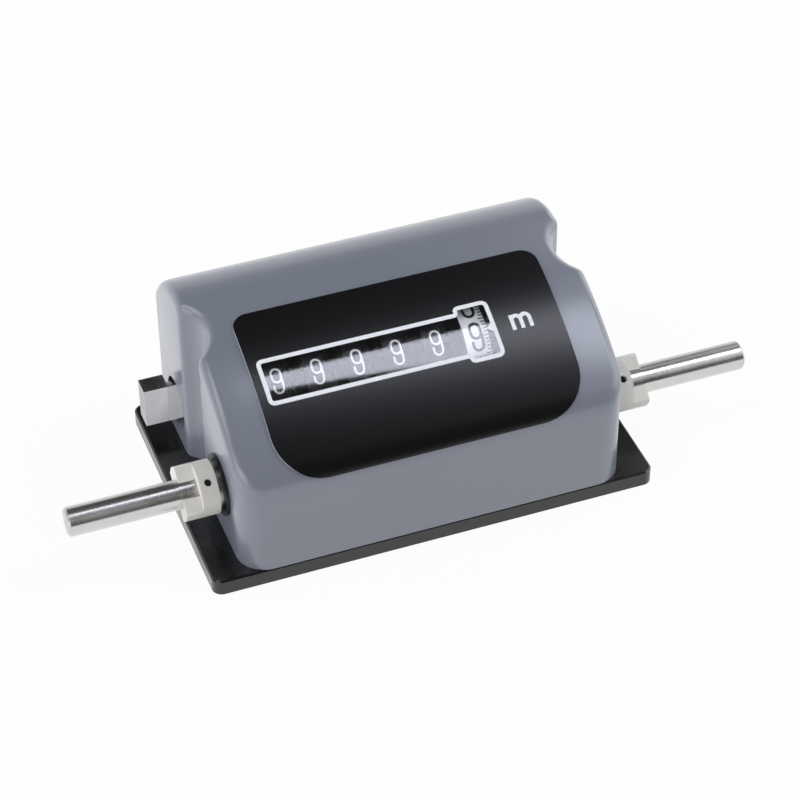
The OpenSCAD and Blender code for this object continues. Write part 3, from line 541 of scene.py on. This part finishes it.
# Front panel and its print, with x from the middle and s down the face, in mm

# Radius of the contour's two hollow corners, what it gains when the contour moves in, and the least one
HOLLOW_R, HOLLOW_GROWTH, LEAST_R = 0.4, 0.3, 0.3
# Outer contour of the white line, as x, s and radius: a long box, and a taller one for the white wheel
WINDOW = [(-35.5, 30.6, 1.7), (12.9, 30.6, HOLLOW_R), (12.9, 28.9, 1.6), (21.55, 28.9, 1.8),
          (21.55, 43.7, 1.8), (12.9, 43.7, 1.6), (12.9, 42.3, HOLLOW_R), (-35.5, 42.3, 1.7)]
# The opening's edges lie within these limits in x and y, with a little to spare
OPENING_LEFT, OPENING_RIGHT = WINDOW[0][0] - 1, WINDOW[3][0] + 1
OPENING_FRONT, OPENING_BACK = -20.0, 5.0
# The opening is this much smaller all round than the contour, so that the line covers its edge
OPENING_INSET, LINE_W = 0.2, 1.02
POINTER = [(19.05, 36.13), (20.7, 35.0), (20.7, 37.35)]
M_LEFT, M_RIGHT, M_TOP, M_LOW, M_W = 25.15, 30.45, 34.2, 38.15, 0.95
# An arch starts this far below the letter's top and its own radius, the left leg this far below the top
M_FOOT, M_HEAD = 0.5, 0.1
# Size of the rows in which the film is cut, so that it bends down the face
FILM_ROWS = 1.6
# Lift of the film's and the ink's underside and top
film_low, film_high = PANEL_LIFT, PANEL_LIFT + PANEL_T
ink_low, ink_high = film_high - 0.02, film_high + 0.012


def inset(corners, d):
    """The same contour moved inward by d: outside corners lose that much radius, hollow ones gain."""
    moved = []
    for i, (x, y, r) in enumerate(corners):
        a, b = corners[i - 1], corners[(i + 1) % len(corners)]
        dx = 0
        dy = 0
        for p, q in ((a, (x, y)), ((x, y), b)):
            ex, ey = q[0] - p[0], q[1] - p[1]
            if abs(ex) > abs(ey):
                dy = d if ex > 0 else -d
            else:
                dx = -d if ey > 0 else d
        radius = r + HOLLOW_GROWTH if r == HOLLOW_R else max(LEAST_R, r - d)
        moved.append((x + dx, y + dy, radius))
    return moved


def panel_outline():
    half, top, low = PANEL_W / 2, PANEL_TOP_R, PANEL_LOW_R
    out = arc(half - top, PANEL_TOP + top, top, -90, 0)
    out += arc(half - low, PANEL_END - low, low, 0, 90)
    out += arc(-half + low, PANEL_END - low, low, 90, 180)
    out += arc(-half + top, PANEL_TOP + top, top, 180, 270)
    return out


def on_cut_edge(p, direction):
    """The film's outer edge, but not the edge of its opening."""
    at_opening = OPENING_LEFT < p.x < OPENING_RIGHT and OPENING_FRONT < p.y < OPENING_BACK
    return abs(direction.dot(face_direction(p))) < CUT_COSINE and not at_opening


def letter_m():
    """The unit mark: three upright legs and two arches, as v grows down the face."""
    l, r, h = M_LEFT + M_W / 2, M_RIGHT - M_W / 2, M_W / 2
    middle, bend = (l + r) / 2, (r - l) / 4
    arches = []
    for x1, x2 in ((l, middle), (middle, r)):
        line = [(x1, M_TOP + bend + M_FOOT)] + arc((x1 + x2) / 2, M_TOP + h + bend, bend, 180, 360)
        arches.append(stroke(line + [(x2, M_LOW)], M_W, round_ends=False))
    return [stroke([(l, M_TOP + M_HEAD), (l, M_LOW)], M_W, round_ends=False)] + arches


window_hole = rounded(inset(WINDOW, OPENING_INSET))
film = make("front_panel_film", film_solid([filled(panel_outline(), [window_hole], FILM_ROWS)], face_place,
                                           film_low, film_high), finishes["black_film"])
second_finish(film, cut_film, on_cut_edge)
stand_in(film, "front_panel", "case")

pane = make("front_panel_window", film_solid([filled(window_hole, [], FILM_ROWS)], face_place,
                                             film_low, film_high), clear)
carried(pane, "case")

line_path = rounded(inset(WINDOW, LINE_W / 2))
window_line = make("window_line_print", film_solid(
    [stroke(line_path, LINE_W, True, 1.0), (POINTER, [[0, 1, 2]])], face_place, ink_low, ink_high), panel_ink)
carried(window_line, "case")

unit_mark = make("unit_mark_print", film_solid(letter_m(), face_place, ink_low, ink_high), panel_ink)
carried(unit_mark, "case")


# Digits and scale on the wheels

# Width, height and line width of a digit in mm, the angle of the 9, and the print's shift to the side
WHITE_DIGIT, WHITE_NINE, WHITE_SHIFT = (2.65, 6.2, 0.48), 127.8, -0.12
BLACK_DIGIT, BLACK_NINE, BLACK_SHIFT = (3.15, 7.1, 0.7), 131.5, -0.1
# Turn from one digit to the next, in degrees
DIGIT_TURN = 36
# The ink starts just inside the wheel and stands out from it, in mm
DIGIT_LOW, DIGIT_HIGH = -0.05, 0.03
# The scale's lines start this far from the white drum's right end
SCALE_INSET = 0.1


def digit_lines(digit, width, height):
    """Centre lines of a narrow round digit about its own middle, and whether they are closed.

    The bows have radius r, t is half the height, and m the foot of the upper bow of the 9.
    """
    r, t = width / 2, height / 2
    m = -t + 0.44 * height
    nine = ([(-r, -t + r + 0.12 * height)] + arc(0, -t + r, r, 180, 360) + arc(0, t - r, r, 0, 180)
            + arc(0, m + r, r, 180, 360))
    shapes = {
        0: [arc(0, -t + r, r, 180, 360) + arc(0, t - r, r, 0, 180)],
        1: [[(-0.7 * r, t - 0.75 * r), (0.15 * r, t), (0.15 * r, -t)]],
        2: [arc(0, t - r, r, 170, -20) + [(-r, -t), (r, -t)]],
        3: [arc(0, t - 0.95 * r, 0.95 * r, 165, -90) + arc(0, -t + r, r, 80, -165)],
        4: [[(0.4 * r, -t), (0.4 * r, t), (-r, -0.2 * t), (r, -0.2 * t)]],
        5: [[(0.85 * r, t), (-0.85 * r, t), (-r, 0.12 * t)] + arc(0, -t + r, r, 120, -165)],
        6: [[(-x, -y) for x, y in nine]],
        7: [[(-r, t), (r, t), (-0.25 * r, -t)]],
        8: [arc(0, t - 0.92 * r, 0.92 * r, -90, 270, 20), arc(0, -t + r, r, -90, 270, 20)],
        9: [nine],
    }
    return shapes[digit], digit in (0, 8)


def digit_ring(name, x0, nine_angle, sizes, material, body):
    """The ten digits of one wheel as a single print, with 0 above the 9."""
    width, height, line_w = sizes
    verts, faces = [], []
    for digit in range(10):
        place = wheel_place(x0, nine_angle - DIGIT_TURN * ((digit + 1) % 10))
        lines, closed = digit_lines(digit, width - line_w, height - line_w)
        mesh = thin_solid([stroke(line, line_w, closed) for line in lines], place, DIGIT_LOW, DIGIT_HIGH)
        base = len(verts)
        verts += [v.co.copy() for v in mesh.vertices]
        faces += [[base + i for i in f.vertices] for f in mesh.polygons]
        bpy.data.meshes.remove(mesh)
    ring = bpy.data.meshes.new(name)
    ring.from_pydata(verts, [], faces)
    carried(make(name, ring, material), body)


def scale_ring():
    """The hundred lines of the scale at the right edge of the white wheel, every fifth one longer."""
    tree = bpy.data.node_groups.new("scale_lines", "GeometryNodeTree")
    sizes = {}
    for label, value in (("Lines", 100), ("Radius", WHEEL_R * MM), ("Line Height", 0.08 * MM),
                         ("Line Width", 0.26 * MM), ("Long Line", 1.35 * MM), ("Short Share", 0.66),
                         ("First Angle", math.radians(BLACK_NINE)),
                         ("Edge X", (DRUM_RIGHT - SCALE_INSET) * MM)):
        kind = "NodeSocketInt" if label == "Lines" else "NodeSocketFloat"
        socket = tree.interface.new_socket(label, in_out="INPUT", socket_type=kind)
        sizes[socket.identifier] = value
    tree.interface.new_socket("Geometry", in_out="OUTPUT", socket_type="NodeSocketGeometry")
    given = add(tree, "NodeGroupInput").outputs
    ring = add(tree, "GeometryNodeMeshCircle", {"Vertices": given["Lines"], "Radius": given["Radius"]})
    size = add(tree, "ShaderNodeCombineXYZ", {"X": given["Line Height"], "Y": given["Line Width"],
                                              "Z": given["Long Line"]})
    bar = add(tree, "GeometryNodeMeshCube", {"Size": size.outputs[0]})
    half = add(tree, "ShaderNodeMath", {0: given["Long Line"], 1: -0.5}, operation="MULTIPLY")
    down = add(tree, "ShaderNodeCombineXYZ", {"Z": half.outputs[0]})
    hung = add(tree, "GeometryNodeTransform", {"Geometry": bar.outputs["Mesh"],
                                               "Translation": down.outputs[0]})
    index = add(tree, "GeometryNodeInputIndex").outputs[0]
    step = add(tree, "ShaderNodeMath", {0: 2 * math.pi, 1: given["Lines"]}, operation="DIVIDE")
    turn = add(tree, "ShaderNodeMath", {0: index, 1: step.outputs[0]}, operation="MULTIPLY")
    facing = add(tree, "ShaderNodeCombineXYZ", {"Z": turn.outputs[0]})
    fifth = add(tree, "ShaderNodeMath", {0: index, 1: 5.0}, operation="MODULO")
    short = add(tree, "ShaderNodeMath", {0: fifth.outputs[0], 1: 0.5}, operation="GREATER_THAN")
    length = add(tree, "ShaderNodeMapRange", {"Value": short.outputs[0], "To Min": 1.0,
                                              "To Max": given["Short Share"]})
    scale = add(tree, "ShaderNodeCombineXYZ", {"X": 1.0, "Y": 1.0, "Z": length.outputs[0]})
    lines = add(tree, "GeometryNodeInstanceOnPoints", {
        "Points": ring.outputs["Mesh"], "Instance": hung.outputs[0], "Rotation": facing.outputs[0],
        "Scale": scale.outputs[0]})
    turned = add(tree, "GeometryNodeTransform", {
        "Geometry": lines.outputs[0],
        "Rotation": add(tree, "ShaderNodeCombineXYZ", {"Z": given["First Angle"]}).outputs[0]})
    spot = add(tree, "ShaderNodeCombineXYZ", {"X": given["Edge X"], "Y": WHEEL_Y * MM, "Z": WHEEL_Z * MM})
    laid = add(tree, "GeometryNodeTransform", {
        "Geometry": turned.outputs[0], "Rotation": (math.pi / 2, 0.0, math.pi / 2),
        "Translation": spot.outputs[0]})
    real = add(tree, "GeometryNodeRealizeInstances", {"Geometry": laid.outputs[0]})
    inked = add(tree, "GeometryNodeSetMaterial", {"Geometry": real.outputs[0], "Material": black_ink})
    add(tree, "NodeGroupOutput", {"Geometry": inked.outputs[0]})

    maker = make("scale_maker", bpy.data.meshes.new("scale_maker"), black_ink)
    modifier = maker.modifiers.new("scale_lines", "NODES")
    modifier.node_group = tree
    for identifier, value in sizes.items():
        modifier[identifier] = value
    bpy.context.view_layer.update()
    mesh = bpy.data.meshes.new_from_object(maker.evaluated_get(bpy.context.evaluated_depsgraph_get()))
    bpy.data.objects.remove(maker)
    carried(make("unit_wheel_scale", mesh, black_ink), "unit")


for wheel in range(1, 6):
    digit_ring(f"white_digits_{wheel}", joint_place(f"digit_{wheel}").x + WHITE_SHIFT, WHITE_NINE,
               WHITE_DIGIT, digit_ink, f"digit_{wheel}")
digit_ring("black_digits", UNIT_DIGIT + BLACK_SHIFT, BLACK_NINE, BLACK_DIGIT, black_ink, "unit")
scale_ring()


# Studio, in metres and watts

WHITE = (1, 1, 1, 1)
FLOOR_HALF = 6
# How much of the floor's look is plain white where it is seen directly or mirrored
FLOOR_PLAIN = 0.94
# The ceiling light is a triangle whose straight edges show in the window
CEILING_Z = 0.9
CEILING_CORNERS = [(0.049, -0.03), (0.8, -0.03), (0.8, -0.602)]
LAMP_TARGET = Vector((0, 0, 0.03))
# Strength of the world where its sweep is brightest, on top of its least strength
SWEEP_LIGHT, LEAST_LIGHT = 0.8, 0.05


def backdrop_finish(name, colour, plain):
    """White card: seen directly and in gloss it is the plain background, and it still takes shadows."""
    material, tree, surface, _ = start_finish(name, {"Base Color": hex_rgb(colour), "Roughness": 0.9})
    glow = add(tree, "ShaderNodeEmission", {"Color": WHITE, "Strength": 1.0})
    path = add(tree, "ShaderNodeLightPath")
    seen = add(tree, "ShaderNodeMath", {0: path.outputs["Is Camera Ray"], 1: path.outputs["Is Glossy Ray"]},
               operation="MAXIMUM")
    share = add(tree, "ShaderNodeMath", {0: seen.outputs[0], 1: plain}, operation="MULTIPLY")
    mix_in(tree, surface, glow, share.outputs[0])
    return material


def glow_finish(name, colour, strength):
    material = bpy.data.materials.new(name)
    material.use_nodes = True
    tree = material.node_tree
    tree.nodes.clear()
    light = add(tree, "ShaderNodeEmission", {"Color": hex_rgb(colour), "Strength": strength})
    add(tree, "ShaderNodeOutputMaterial", {"Surface": light.outputs[0]})
    return material


def flat_sheet(name, corners, height, material):
    mesh = bpy.data.meshes.new(name)
    mesh.from_pydata([Vector((x, y, height)) for x, y in corners], [], [list(range(len(corners)))])
    obj = make(name, mesh, material)
    return obj


def softbox(name, place, size, power, colour="#ffffff", mirrored=True):
    """A lamp turned to the counter; one that isn't mirrored lights it but shows in no gloss."""
    light = bpy.data.lights.new(name, "AREA")
    light.shape = "RECTANGLE"
    light.size, light.size_y = size
    light.energy = power
    light.color = hex_rgb(colour)[:3]
    obj = bpy.data.objects.new(name, light)
    obj.location = place
    obj.rotation_euler = (LAMP_TARGET - Vector(place)).to_track_quat("-Z", "Y").to_euler()
    obj.visible_glossy = mirrored
    bpy.context.scene.collection.objects.link(obj)


def studio_air():
    """White to the camera; round the object a white sweep at the sides and back, dark above and in front."""
    world = bpy.data.worlds.new("studio_air")
    bpy.context.scene.world = world
    world.use_nodes = True
    sky = world.node_tree
    sky.nodes.clear()
    path = add(sky, "ShaderNodeLightPath")
    plain_air = add(sky, "ShaderNodeBackground", {"Color": WHITE, "Strength": 1.0})
    # In a world, Generated is the direction
    toward = add(sky, "ShaderNodeSeparateXYZ", {0: add(sky, "ShaderNodeTexCoord").outputs["Generated"]})
    low = add(sky, "ShaderNodeMapRange", {"Value": toward.outputs["Z"], "From Min": 0.65, "From Max": 0.25,
                                          "To Min": 0.0, "To Max": 1.0}, interpolation_type="SMOOTHSTEP")
    behind = add(sky, "ShaderNodeMapRange", {"Value": toward.outputs["Y"], "From Min": -0.45, "From Max": 0.2,
                                             "To Min": 0.0, "To Max": 1.0}, interpolation_type="SMOOTHSTEP")
    sweep = add(sky, "ShaderNodeMath", {0: low.outputs[0], 1: behind.outputs[0]}, operation="MULTIPLY")
    strength = add(sky, "ShaderNodeMath", {0: sweep.outputs[0], 1: SWEEP_LIGHT, 2: LEAST_LIGHT},
                   operation="MULTIPLY_ADD")
    dim_air = add(sky, "ShaderNodeBackground", {"Color": WHITE, "Strength": strength.outputs[0]})
    air = add(sky, "ShaderNodeMixShader", {0: path.outputs["Is Camera Ray"], 1: dim_air.outputs[0],
                                           2: plain_air.outputs[0]})
    add(sky, "ShaderNodeOutputWorld", {"Surface": air.outputs[0]})


floor_corners = [(x * FLOOR_HALF, y * FLOOR_HALF) for x, y in ((-1, -1), (1, -1), (1, 1), (-1, 1))]
flat_sheet("studio_floor", floor_corners, 0, backdrop_finish("white_floor", "#f2f2f2", FLOOR_PLAIN))
ceiling = flat_sheet("ceiling_light", CEILING_CORNERS, CEILING_Z, glow_finish("ceiling_glow", "#edf1ff", 5.4))
ceiling.visible_camera = False

softbox("front_left_softbox", (-0.82, -0.66, 0.44), (0.8, 0.8), 4.8)
softbox("right_softbox", (0.85, -0.42, 0.6), (0.7, 0.6), 2.2)
softbox("top_left_softbox", (-0.6, -0.02, 0.9), (0.35, 0.7), 2.3)
softbox("top_right_softbox", (0.85, 0.5, 0.8), (0.7, 0.7), 1.2)
# Mirrored in the top at a low angle, this one would burn out where the counter is seen from the right
softbox("low_left_softbox", (-1.05, 0.6, 0.42), (2.4, 0.8), 10.5, "#f1f4ff", mirrored=False)
softbox("low_right_softbox", (1.2, 0.1, 0.42), (2.2, 0.8), 6.5)
studio_air()


# Camera, fitted to the plate's corners, the shaft's edges and the digits

PICTURE = 800
SENSOR = 36.0
AZIMUTH, ELEVATION, ROLL = (math.radians(a) for a in (-20.661, 40.567, -0.073))
# Where it looks and how far away it is, in mm, and the scale that fits both to this model's size
AIM, DISTANCE, FIT_SCALE = Vector((-3.405, -30.962, 40.377)), 625.394, 0.995
# Focal length and the middle of the lens, in pixels of the photo
FOCAL_PX, MIDDLE_X, MIDDLE_Y = 2760.729, 421.408, 404.495

back = Vector((math.sin(AZIMUTH) * math.cos(ELEVATION), -math.cos(AZIMUTH) * math.cos(ELEVATION),
               math.sin(ELEVATION)))
right = Vector((0, 0, 1)).cross(back).normalized()
up = back.cross(right)
right, up = (right * math.cos(ROLL) + up * math.sin(ROLL), up * math.cos(ROLL) - right * math.sin(ROLL))
camera_data = bpy.data.cameras.new("studio_camera")
camera_data.sensor_width = SENSOR
camera_data.lens = FOCAL_PX / PICTURE * SENSOR
camera_data.shift_x = (PICTURE / 2 - MIDDLE_X) / PICTURE
camera_data.shift_y = (MIDDLE_Y - PICTURE / 2) / PICTURE
camera_data.clip_start, camera_data.clip_end = 0.05, 50
camera = bpy.data.objects.new("studio_camera", camera_data)
bpy.context.scene.collection.objects.link(camera)
eye = (AIM + back * DISTANCE) * FIT_SCALE * MM
camera.matrix_world = Matrix.Translation(eye) @ Matrix((right, up, back)).transposed().to_4x4()
bpy.context.scene.camera = camera
bpy.context.scene.view_settings.view_transform = "Standard"
